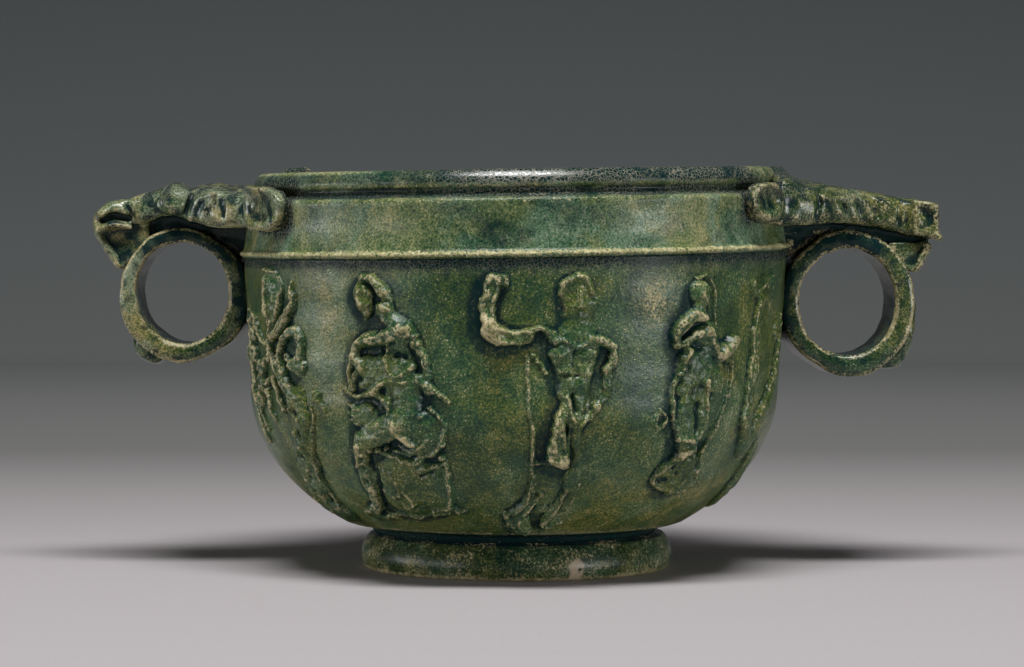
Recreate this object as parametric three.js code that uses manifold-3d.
// Skyphos: a low two-handled drinking cup of lead-glazed earthenware, with figures applied in relief.
// Millimetres, +Z up. The origin is on the table under the middle of the foot, and the front faces -Y.
// Azimuths run round the cup from the front, in degrees, positive towards +X.
import * as THREE from 'three';
import { mergeVertices } from 'three/addons/utils/BufferGeometryUtils.js';
import Module from 'manifold-3d';

// Foot ring
const FOOT_HEIGHT = 6.6;
const FOOT_STEP = 0.6; // how far its neck is set in from the bowl's edge
const FOOT_FLARE = 1.7; // how far its fullest part stands beyond the neck
const FOOT_FULLEST = 2.5; // height of its fullest part above the table
const FOOT_EDGE = 0.8; // how far the resting edge is drawn in
const FOOT_WIDTH = 5.4; // of the resting face

// Bowl
const BOWL_HEIGHT = 50.4;
const BASE_RADIUS = 27;
const WAIST_RADIUS = 48; // where the round bottom turns into the steep wall
const WAIST_HEIGHT = 26.4; // above the foot
const WALL_FLARE = 1.3; // how far the wall leans out between the waist and the collar
const WALL = 4;
const FLOOR = 4.4;

// Collar and lip
const COLLAR_HEIGHT = 10.2;
const COLLAR_TAPER = 0.3; // how far its top edge is drawn in
const COLLAR_EDGE = 0.7; // rounding of the top edge
const RIDGE_HEIGHT = 1.9;
const RIDGE_PROUD = 0.8;
const GROOVE_DEPTH = 2.6;
const GROOVE_WIDTH = 2;
const LIP_HEIGHT = 4.8; // above the collar, with the groove
const LIP_STEP = 1.6; // how far the lip is set in from the collar
const LIP_WALL = 3.6;

// Handle rings
const RING_REACH = 23.2; // beyond the wall
const RING_SEAT = 0.8; // how deep the ring beds into the wall
const RING_WALL = 3.6;
const RING_DEPTH = 11.5; // along the rim
const RING_DROP = 5.7; // from the collar's top edge to the ring's top
const RIGHT_RING_HEIGHT = 27;
const LEFT_RING_HEIGHT = 24.6;
const RING_EDGE = 0.9;

// Thumb plates
const PLATE_REACH = 27.2; // beyond the collar
const PLATE_THICKNESS = 4.6;
const PLATE_RISE = 0.4; // of the plate's middle above the collar's top edge, at the collar
const PLATE_SLOPE = 9; // degrees down towards the tip
const PLATE_ROOT_WIDTH = 32;
const PLATE_SHOULDER = 6; // from the collar to where the plate starts to narrow
const PLATE_SHOULDER_WIDTH = 25.6;
const PLATE_NECK = 19; // from the collar to where the plate is narrowest
const PLATE_NECK_WIDTH = 11.5;
const PLATE_TIP_WIDTH = 13.5;
const PLATE_EDGE = 1.1;
const TIP_ROLL = 2.7; // radius of the rolled tip
const VOLUTE_LENGTH = 9; // of the curl beside the root
const VOLUTE_HEIGHT = 6.6;
const VOLUTE_REACH = 6.8; // of its middle beyond the collar
const VOLUTE_OFFSET = 12.2; // of its middle from the handle's middle
const VOLUTE_HEADING = 60; // degrees between the curl and the handle's middle
const ARM_RADIUS = 2.8; // of the arms that hug the rim
const LOBE_ANGLE = 28; // from the handle's middle to the arm's round end, in degrees
const LOBE_LENGTH = 9;
const LOBE_HEIGHT = 7;
const WEB_DEPTH = 7; // of the recessed web between plate and ring
const WEB_LENGTH = 22.5; // beyond the collar
const BRACE_DROP = 7.4; // of the turned-down tip below the plate
const BRACE_DEPTH = 11;
const BRACE_ANGLE = 30; // where it meets the ring, in degrees above the ring's middle

// Finger spurs
const SPUR_PROUD = 3; // beyond the ring
const SPUR_DEPTH = 8.6;
const RIGHT_SPUR_TOP = -8; // where the spur leaves the ring, in degrees below its middle
const LEFT_SPUR_TOP = -28;
const SPUR_TIP_TOP = -44; // the flat end, in degrees below the ring's middle
const SPUR_TIP_BOTTOM = -56;
const SPUR_BOTTOM = -68;

// Reliefs: their heights are percent of the frieze and their widths are degrees round the cup
const FRIEZE_BASE = 4; // from the foot to the ground line
const FRIEZE_MARGIN = 2.4; // from the heads to the collar
const RELIEF_PROUD = 2.3; // the most that a limb stands out of the wall
const RELIEF_SINK = 0.1; // share of a limb's thickness by which its middle lies under the wall at least

// Where the reliefs stand round the cup: the front ones, then the same on the back
const SEATED_AZIMUTHS = { front: -23, back: 215 };
const STANDING_AZIMUTHS = { front: 9, back: 175 };
const DRAPED_AZIMUTHS = { front: 41, back: 142 };
const VINE_AZIMUTHS = { front: -60, back: -120 };
const TREE_AZIMUTHS = { front: 65, back: 115 };

// Clearance that stands for the film of slip between joined pieces
const SLIP = 0.3;

// Fineness of the facets
const TURN_STEPS = 48;
const CURVE_STEPS = 3;
const ROUND_STEPS = 8;
const RELIEF_STEPS = 6;
const LEAN_SPAN = 1; // height over which the wall's lean is taken
const MERGE_DISTANCE = 1e-4;

const footNeckRadius = BASE_RADIUS - FOOT_STEP;
const footRadius = footNeckRadius + FOOT_FLARE;
const shoulderRadius = WAIST_RADIUS + WALL_FLARE;
const collarRadius = shoulderRadius - COLLAR_TAPER;
const lipRadius = collarRadius - LIP_STEP;
const bowlBase = FOOT_HEIGHT;
const bowlTop = bowlBase + BOWL_HEIGHT;
const waistLevel = bowlBase + WAIST_HEIGHT;
const collarTop = bowlTop + COLLAR_HEIGHT;
const lipTop = collarTop + LIP_HEIGHT;
const bottomAngle = Math.acos(BASE_RADIUS / WAIST_RADIUS);
const bottomRise = WAIST_HEIGHT / Math.sin(bottomAngle);
const plateLevel = collarTop + PLATE_RISE;
const ringTop = collarTop - RING_DROP;
const groundLine = bowlBase + FRIEZE_BASE;
const friezeHeight = BOWL_HEIGHT - FRIEZE_BASE - FRIEZE_MARGIN;

const wasm = await Module();
wasm.setup();

function solidOf(geometry) {
  const bare = geometry.index ? geometry.toNonIndexed() : geometry.clone();
  bare.deleteAttribute('normal');
  bare.deleteAttribute('uv');
  const merged = mergeVertices(bare, MERGE_DISTANCE);
  const corners = merged.index.array;
  const triVerts = [];
  for (let i = 0; i < corners.length; i += 3) {
    const [a, b, c] = corners.slice(i, i + 3);
    if (a !== b && b !== c && c !== a) triVerts.push(a, b, c);
  }
  return new wasm.Manifold(new wasm.Mesh({
    numProp: 3,
    vertProperties: Float32Array.from(merged.attributes.position.array),
    triVerts: Uint32Array.from(triVerts),
  }));
}

function geometryOf(solid) {
  const { numProp, vertProperties, triVerts } = solid.getMesh();
  const geometry = new THREE.BufferGeometry();
  geometry.setAttribute('position', new THREE.BufferAttribute(vertProperties, numProp));
  geometry.setIndex(new THREE.BufferAttribute(triVerts, 1));
  geometry.computeVertexNormals();
  return geometry;
}

function union(solids) {
  return solids.reduce((whole, solid) => whole.add(solid));
}

function turned(profile) {
  const geometry = new THREE.LatheGeometry(profile.getPoints(CURVE_STEPS), TURN_STEPS);
  return solidOf(geometry.rotateX(Math.PI / 2));
}

function wallRadius(level) {
  if (level < waistLevel) {
    return WAIST_RADIUS * Math.sqrt(1 - ((waistLevel - level) / bottomRise) ** 2);
  }
  return WAIST_RADIUS + (shoulderRadius - WAIST_RADIUS) * (level - waistLevel) / (bowlTop - waistLevel);
}

// The outside of the bowl, from the foot up to the collar, moved out by a clearance.
function followBowl(profile, clearance) {
  profile.lineTo(BASE_RADIUS + clearance, bowlBase);
  profile.absellipse(clearance, waistLevel, WAIST_RADIUS, bottomRise, -bottomAngle, 0);
  profile.lineTo(shoulderRadius + clearance, bowlTop);
}

// The outside of the ridge, collar, groove and lip, from the bowl up to the top, moved out by a clearance.
function followCollar(profile, clearance) {
  const shoulder = shoulderRadius + clearance;
  const collar = collarRadius + clearance;
  const lip = lipRadius + clearance;
  const ridgeTop = bowlTop + RIDGE_HEIGHT;
  const lipBase = collarTop + GROOVE_WIDTH;
  profile.quadraticCurveTo(shoulder + 2 * RIDGE_PROUD, bowlTop + RIDGE_HEIGHT / 2, shoulder, ridgeTop);
  profile.lineTo(collar, collarTop - COLLAR_EDGE);
  profile.quadraticCurveTo(collar, collarTop, collar - COLLAR_EDGE, collarTop);
  profile.lineTo(collar - GROOVE_DEPTH, collarTop + GROOVE_WIDTH / 2);
  profile.lineTo(lip, lipBase);
  profile.quadraticCurveTo(lip, lipTop, lip - LIP_WALL / 2, lipTop);
}

// Everything inside the bowl, collar and lip with the slip around them, for cutting what is joined on.
function vesselCutter() {
  const profile = new THREE.Path();
  profile.moveTo(0, bowlBase);
  followBowl(profile, SLIP);
  followCollar(profile, SLIP);
  const aboveMouth = lipTop + PLATE_RISE + PLATE_THICKNESS;
  profile.lineTo(lipRadius - LIP_WALL / 2 + SLIP, aboveMouth);
  profile.lineTo(0, aboveMouth);
  return turned(profile);
}

function footRing() {
  const foot = footRadius - FOOT_EDGE;
  const profile = new THREE.Path();
  profile.moveTo(foot - FOOT_WIDTH, 0);
  profile.lineTo(foot, 0);
  profile.quadraticCurveTo(footRadius, 0, footRadius, FOOT_FULLEST);
  profile.quadraticCurveTo(footRadius, FOOT_HEIGHT - FOOT_FLARE, footNeckRadius, FOOT_HEIGHT);
  profile.lineTo(footNeckRadius - FOOT_WIDTH, FOOT_HEIGHT);
  profile.closePath();
  return turned(profile);
}

function bowl() {
  const innerRise = bottomRise - WALL;
  const floorLevel = bowlBase + FLOOR;
  const floorAngle = Math.asin((waistLevel - floorLevel) / innerRise);
  const profile = new THREE.Path();
  profile.moveTo(0, bowlBase);
  followBowl(profile, 0);
  profile.lineTo(shoulderRadius - WALL, bowlTop);
  profile.absellipse(0, waistLevel, WAIST_RADIUS - WALL, innerRise, 0, -floorAngle, true);
  profile.lineTo(0, floorLevel);
  return turned(profile);
}

function rimCollar() {
  const lipBase = collarTop + GROOVE_WIDTH;
  const profile = new THREE.Path();
  profile.moveTo(shoulderRadius - WALL, bowlTop);
  profile.lineTo(shoulderRadius, bowlTop);
  followCollar(profile, 0);
  profile.quadraticCurveTo(lipRadius - LIP_WALL, lipTop, lipRadius - LIP_WALL, lipBase);
  profile.closePath();
  return turned(profile);
}

const cutter = vesselCutter();

// Handles are made with +X pointing out of the cup, and the left one is turned round.

// Extrudes a shape drawn in X and Z along Y, centred, with rounded edges.
function slabAlongY(shape, depth, edge) {
  const geometry = new THREE.ExtrudeGeometry(shape, {
    depth: depth - 2 * edge,
    bevelEnabled: edge > 0,
    bevelThickness: edge,
    bevelSize: edge,
    bevelOffset: -edge,
    bevelSegments: 2,
    curveSegments: 2 * ROUND_STEPS,
  });
  return geometry.rotateX(Math.PI / 2).translate(0, depth / 2 - edge, 0);
}

function shapeOf(points) {
  return new THREE.Shape(points.map(([x, z]) => new THREE.Vector2(x, z)));
}

// A ring's outer ellipse, bedded in the wall on its inner side.
function ringEllipse(height) {
  const level = ringTop - height / 2;
  const halfWidth = (RING_REACH + RING_SEAT) / 2;
  return { x: wallRadius(level) - RING_SEAT + halfWidth, z: level, halfWidth, halfHeight: height / 2 };
}

function ringPoint(ring, degrees, beyond) {
  const angle = THREE.MathUtils.degToRad(degrees);
  return [
    ring.x + (ring.halfWidth + beyond) * Math.cos(angle),
    ring.z + (ring.halfHeight + beyond) * Math.sin(angle),
  ];
}

function handleRing(ring) {
  const shape = new THREE.Shape();
  shape.absellipse(ring.x, ring.z, ring.halfWidth, ring.halfHeight, 0, 2 * Math.PI);
  const hole = new THREE.Path();
  hole.absellipse(ring.x, ring.z, ring.halfWidth - RING_WALL, ring.halfHeight - RING_WALL, 0, 2 * Math.PI);
  shape.holes.push(hole);
  return solidOf(slabAlongY(shape, RING_DEPTH, RING_EDGE)).subtract(cutter);
}

// A full ellipse with the slip around it, for cutting what sits on the ring.
function ringCutter(ring) {
  const shape = new THREE.Shape();
  shape.absellipse(ring.x, ring.z, ring.halfWidth + SLIP, ring.halfHeight + SLIP, 0, 2 * Math.PI);
  return solidOf(slabAlongY(shape, 2 * PLATE_ROOT_WIDTH, 0));
}

function plateHeight(beyond) {
  return plateLevel - beyond * Math.tan(THREE.MathUtils.degToRad(PLATE_SLOPE));
}

// One side of the plate's outline, from the root to the tip.
function plateSide(side) {
  return [
    [0, PLATE_ROOT_WIDTH],
    [PLATE_SHOULDER, PLATE_SHOULDER_WIDTH],
    [PLATE_NECK, PLATE_NECK_WIDTH],
    [PLATE_REACH - TIP_ROLL, PLATE_TIP_WIDTH],
  ].map(([beyond, width]) => new THREE.Vector2(beyond, side * width / 2));
}

function plateSlab() {
  const shape = new THREE.Shape();
  const buried = LIP_WALL + GROOVE_DEPTH;
  const back = plateSide(1).reverse();
  shape.moveTo(-buried, -PLATE_ROOT_WIDTH / 2);
  shape.lineTo(0, -PLATE_ROOT_WIDTH / 2);
  shape.splineThru(plateSide(-1).slice(1));
  shape.lineTo(back[0].x, back[0].y);
  shape.splineThru(back.slice(1));
  shape.lineTo(-buried, PLATE_ROOT_WIDTH / 2);
  const geometry = new THREE.ExtrudeGeometry(shape, {
    depth: PLATE_THICKNESS - 2 * PLATE_EDGE,
    bevelThickness: PLATE_EDGE,
    bevelSize: PLATE_EDGE,
    bevelOffset: -PLATE_EDGE,
    bevelSegments: 2,
    curveSegments: 2,
  });
  geometry.translate(0, 0, PLATE_EDGE - PLATE_THICKNESS / 2);
  geometry.rotateY(THREE.MathUtils.degToRad(PLATE_SLOPE));
  return geometry.translate(collarRadius, 0, plateLevel);
}

function rolledTip() {
  const beyond = PLATE_REACH - TIP_ROLL;
  const geometry = new THREE.CapsuleGeometry(TIP_ROLL, PLATE_TIP_WIDTH - 2 * TIP_ROLL, 2, ROUND_STEPS);
  return geometry.translate(collarRadius + beyond, 0, plateHeight(beyond) - TIP_ROLL + PLATE_THICKNESS / 2);
}

// A rounded lump, longest along a heading given in degrees from +X.
function lump(length, height, heading) {
  const geometry = new THREE.SphereGeometry(1, ROUND_STEPS, RELIEF_STEPS);
  geometry.rotateX(Math.PI / 2);
  geometry.scale(length / 2, height / 2, height / 2);
  return geometry.rotateZ(THREE.MathUtils.degToRad(heading));
}

// The curl beside the root, on one side of the plate.
function volute(side) {
  const geometry = lump(VOLUTE_LENGTH, VOLUTE_HEIGHT, -side * VOLUTE_HEADING);
  return geometry.translate(collarRadius + VOLUTE_REACH, side * VOLUTE_OFFSET, plateHeight(VOLUTE_REACH));
}

// The arm that hugs the rim, on one side of the plate, and the lobe at its end.
function rimArm(side) {
  const reach = collarRadius + ARM_RADIUS / 2;
  const points = [];
  for (let i = 1; i <= CURVE_STEPS; i += 1) {
    const angle = THREE.MathUtils.degToRad(side * LOBE_ANGLE * i / CURVE_STEPS);
    const drop = (PLATE_RISE + ARM_RADIUS) * i / CURVE_STEPS;
    points.push(new THREE.Vector3(reach * Math.cos(angle), reach * Math.sin(angle), plateLevel - drop));
  }
  const section = new THREE.Shape();
  section.absellipse(0, 0, ARM_RADIUS, ARM_RADIUS, 0, 2 * Math.PI);
  const arm = new THREE.ExtrudeGeometry(section, {
    steps: 2 * CURVE_STEPS,
    curveSegments: CURVE_STEPS,
    extrudePath: new THREE.CatmullRomCurve3(points),
  });
  const end = points[points.length - 1];
  const lobe = lump(LOBE_LENGTH, LOBE_HEIGHT, side * (LOBE_ANGLE + 90));
  return [arm, lobe.translate(end.x, end.y, end.z)];
}

// The recessed web that carries the plate on the ring.
function web() {
  const inner = collarRadius - GROOVE_DEPTH;
  const outer = collarRadius + WEB_LENGTH;
  const bottom = ringTop - RING_WALL;
  return slabAlongY(shapeOf([
    [inner, bottom],
    [outer, bottom],
    [outer, plateHeight(WEB_LENGTH)],
    [inner, plateLevel],
  ]), WEB_DEPTH, 0);
}

// The tip's turned-down end, which runs back to the ring.
function brace(ring) {
  const outer = collarRadius + PLATE_REACH - RING_EDGE;
  const level = plateHeight(PLATE_REACH);
  const [footX] = ringPoint(ring, BRACE_ANGLE, SLIP);
  return slabAlongY(shapeOf([
    [ring.x, ringTop],
    [footX, level - BRACE_DROP],
    [outer, level],
    [ring.x, plateHeight(ring.x - collarRadius)],
  ]), BRACE_DEPTH, 0);
}

function thumbPlate(ring) {
  const forms = [plateSlab(), rolledTip(), web(), brace(ring)];
  for (const side of [-1, 1]) {
    forms.push(volute(side), ...rimArm(side));
  }
  return union(forms.map(solidOf)).subtract(cutter).subtract(ringCutter(ring));
}

function fingerSpur(ring, topAngle) {
  const shape = shapeOf([
    ringPoint(ring, topAngle, 0),
    [ring.x, ring.z],
    ringPoint(ring, SPUR_BOTTOM, 0),
    ringPoint(ring, SPUR_TIP_BOTTOM, SPUR_PROUD),
    ringPoint(ring, SPUR_TIP_TOP, SPUR_PROUD),
  ].reverse());
  return solidOf(slabAlongY(shape, SPUR_DEPTH, 0)).subtract(ringCutter(ring));
}

// Reliefs are built of tapered limbs and mounds that lie on the wall, and are cut where they meet it.

// A place for the middle of a form that is as thick as given.
function onWall(azimuth, percent, thickness) {
  const angle = THREE.MathUtils.degToRad(azimuth);
  const level = groundLine + friezeHeight * percent / 100;
  const radius = wallRadius(level) - Math.max(RELIEF_SINK * thickness, thickness - RELIEF_PROUD);
  return new THREE.Vector3(radius * Math.sin(angle), -radius * Math.cos(angle), level);
}

// How far the wall leans out at a level, as an angle.
function wallLean(level) {
  const rise = wallRadius(level + LEAN_SPAN / 2) - wallRadius(level - LEAN_SPAN / 2);
  return Math.atan2(rise, LEAN_SPAN);
}

function alongWall(degrees) {
  return WAIST_RADIUS * THREE.MathUtils.degToRad(degrees);
}

const limb = (from, to, start, end = start) => ({ from, to, start, end });
const mound = (centre, halfWidth, halfHeight, proud) => ({ centre, halfWidth, halfHeight, proud });

// A row of limbs that tapers evenly from its first point to its last.
function stem(points, start, end = start) {
  const spans = points.length - 1;
  const thickness = (i) => start + (end - start) * i / spans;
  return points.slice(1).map((to, i) => limb(points[i], to, thickness(i), thickness(i + 1)));
}

function limbGeometry(form, meridian) {
  const start = alongWall(form.start);
  const end = alongWall(form.end);
  const from = onWall(meridian + form.from[0], form.from[1], start);
  const to = onWall(meridian + form.to[0], form.to[1], end);
  const span = to.clone().sub(from);
  const length = span.length();
  const profile = [[0, -start], [start, 0], [end, length], [0, length + end]];
  const outline = profile.map(([radius, along]) => new THREE.Vector2(radius, along));
  const geometry = new THREE.LatheGeometry(outline, RELIEF_STEPS);
  const turn = new THREE.Quaternion().setFromUnitVectors(new THREE.Vector3(0, 1, 0), span.normalize());
  return geometry.applyQuaternion(turn).translate(from.x, from.y, from.z);
}

function moundGeometry(form, meridian) {
  const azimuth = meridian + form.centre[0];
  const proud = alongWall(form.proud);
  const place = onWall(azimuth, form.centre[1], proud);
  const geometry = new THREE.SphereGeometry(1, ROUND_STEPS, RELIEF_STEPS);
  geometry.rotateX(Math.PI / 2);
  geometry.scale(alongWall(form.halfWidth), proud, alongWall(form.halfHeight));
  geometry.rotateX(wallLean(place.z));
  geometry.rotateZ(THREE.MathUtils.degToRad(azimuth));
  return geometry.translate(place.x, place.y, place.z);
}

function relief(meridian, forms) {
  const geometries = forms.map((form) => (form.centre ? moundGeometry : limbGeometry)(form, meridian));
  return union(geometries.map(solidOf)).subtract(cutter);
}

// A figure seated on a rock, turned to the left, with drapery over the lap.
function seatedFigure(meridian) {
  return relief(meridian, [
    mound([-6, 92], 4, 5, 3),
    limb([-4, 87], [-3, 78], 2.4),
    mound([-3.5, 67], 5.5, 9, 2.6),
    mound([-1, 49], 5, 6, 2.6),
    ...stem([[-6, 75], [-12, 61], [-8, 50], [-3, 48]], 2.2, 2),
    ...stem([[-4, 76], [1, 77], [5, 58], [9, 50]], 2.5, 1.8),
    limb([-1, 43], [-12, 34], 3.8, 2.8),
    ...stem([[-12, 34], [-15, 18], [-18, 6], [-22, 4]], 2.6, 1.8),
    ...stem([[2, 42], [6, 34], [-4, 30]], 2.4, 2),
    mound([0, 22], 8, 11, 2),
    ...stem([[-20, 3], [-8, 4], [6, 4], [10, 5]], 1.8),
  ]);
}

// A nude striding figure with one arm raised and a cloak hanging behind.
function standingFigure(meridian) {
  return relief(meridian, [
    mound([3.5, 90], 4.2, 5, 2.2),
    limb([3.5, 85], [3.5, 75], 2),
    ...stem([[-12.5, 96], [-13.6, 79], [-3, 74], [2, 71]], 2.3, 2.2),
    mound([3.5, 67], 5.6, 7, 2.6),
    mound([3, 54], 4.6, 8, 2.4),
    ...stem([[7, 72], [11.5, 63], [8.5, 50], [4, 47]], 1.9),
    ...stem([[2, 46], [0.6, 36], [0.6, 25]], 3.2, 2.4),
    ...stem([[0, 25], [-5, 10], [-7.5, 1.5]], 2.2, 1.8),
    ...stem([[3, 44], [6, 24], [1.5, 6], [4, 1.5]], 2.4, 1.8),
    ...stem([[-1, 66], [-5.5, 52], [-5, 24], [-1, 24]], 1.6),
  ]);
}

// A draped figure with one forearm held out.
function drapedFigure(meridian) {
  return relief(meridian, [
    mound([0.3, 92], 3, 3.8, 3),
    limb([0.2, 87], [0, 79], 2),
    ...stem([[-3, 78], [-6, 72], [-5.5, 64]], 2.6, 2),
    ...stem([[2, 76], [5.5, 65], [10, 70]], 2.2, 2),
    mound([-0.5, 66], 5.6, 9, 2.6),
    mound([0.5, 46], 7, 11, 2.6),
    mound([0, 28], 6.4, 9, 2.2),
    ...stem([[-3, 30], [-6, 18], [0, 15], [6, 17], [4, 30]], 2.4),
  ]);
}

// A knobbly trunk that rises into a scroll, a curved leaf and a bud. Side is -1 for its mirror image.
function vine(meridian, side) {
  const at = (across, percent) => [side * across, percent];
  return relief(meridian, [
    ...stem([at(0, 3), at(0, 14), at(4.5, 32), at(6, 48), at(3, 60), at(-1, 72)], 2.4, 1.8),
    ...stem([at(4, 55), at(5, 70), at(9, 75), at(11, 67), at(8, 62)], 1.6, 1.4),
    ...stem([at(-1, 72), at(4, 82), at(8, 94)], 1.5, 1.2),
    ...stem([at(-1, 72), at(-1.5, 84), at(-1, 96)], 2.2, 1.8),
    ...stem([at(3, 58), at(-6, 57), at(-13, 46), at(-15, 34)], 1.5, 1.3),
    mound(at(-7, 62), 2.8, 3.4, 1.8),
    mound(at(-12, 53), 2.6, 3, 1.8),
  ]);
}

// A smooth forked tree with leaves at its top. Side is -1 for its mirror image.
function tree(meridian, side) {
  const at = (across, percent) => [side * across, percent];
  return relief(meridian, [
    ...stem([at(4, 5), at(1, 18), at(-4, 30), at(-6.5, 55), at(-4.5, 78), at(-2.5, 85)], 2.2, 1.4),
    ...stem([at(1, 18), at(6, 40), at(9, 54), at(10, 66)], 1.9, 1.4),
    ...stem([at(-2.5, 85), at(3, 91), at(8, 94)], 1.6, 1.4),
    mound(at(-5, 88), 2.6, 4, 1.8),
    mound(at(8, 92), 3.2, 2.6, 1.8),
    mound(at(10, 68), 2.4, 3.4, 1.8),
  ]);
}

const GLAZE = { color: 0x4a5c34, roughness: 0.3, metalness: 0 };
const COLLAR_GLAZE = { color: 0x5c6f4c, roughness: 0.28, metalness: 0 };
const FOOT_GLAZE = { color: 0x46532f, roughness: 0.35, metalness: 0 };
const WORN_GLAZE = { color: 0x6c6f54, roughness: 0.4, metalness: 0 };

function piece(name, solid, finish) {
  const mesh = new THREE.Mesh(geometryOf(solid), new THREE.MeshStandardMaterial(finish));
  mesh.name = name;
  return mesh;
}

function handle(side, ringHeight, spurTop) {
  const ring = ringEllipse(ringHeight);
  const group = new THREE.Group();
  group.add(piece(`${side}_handle_ring`, handleRing(ring), WORN_GLAZE));
  group.add(piece(`${side}_thumb_plate`, thumbPlate(ring), WORN_GLAZE));
  group.add(piece(`${side}_finger_spur`, fingerSpur(ring, spurTop), WORN_GLAZE));
  return group;
}

function vessel() {
  const group = new THREE.Group();
  group.add(piece('foot_ring', footRing(), FOOT_GLAZE));
  group.add(piece('bowl', bowl(), GLAZE));
  group.add(piece('rim_collar', rimCollar(), COLLAR_GLAZE));
  return group;
}

function frieze() {
  const group = new THREE.Group();
  for (const face of ['front', 'back']) {
    const turn = face === 'front' ? 1 : -1;
    group.add(piece(`${face}_seated_figure`, seatedFigure(SEATED_AZIMUTHS[face]), GLAZE));
    group.add(piece(`${face}_standing_figure`, standingFigure(STANDING_AZIMUTHS[face]), GLAZE));
    group.add(piece(`${face}_draped_figure`, drapedFigure(DRAPED_AZIMUTHS[face]), GLAZE));
    group.add(piece(`left_${face}_vine`, vine(VINE_AZIMUTHS[face], turn), GLAZE));
    group.add(piece(`right_${face}_tree`, tree(TREE_AZIMUTHS[face], turn), GLAZE));
  }
  return group;
}

const skyphos = new THREE.Group();
const leftHandle = handle('left', LEFT_RING_HEIGHT, LEFT_SPUR_TOP);
leftHandle.rotation.z = Math.PI;
skyphos.add(vessel(), handle('right', RIGHT_RING_HEIGHT, RIGHT_SPUR_TOP), leftHandle, frieze());

export default skyphos;
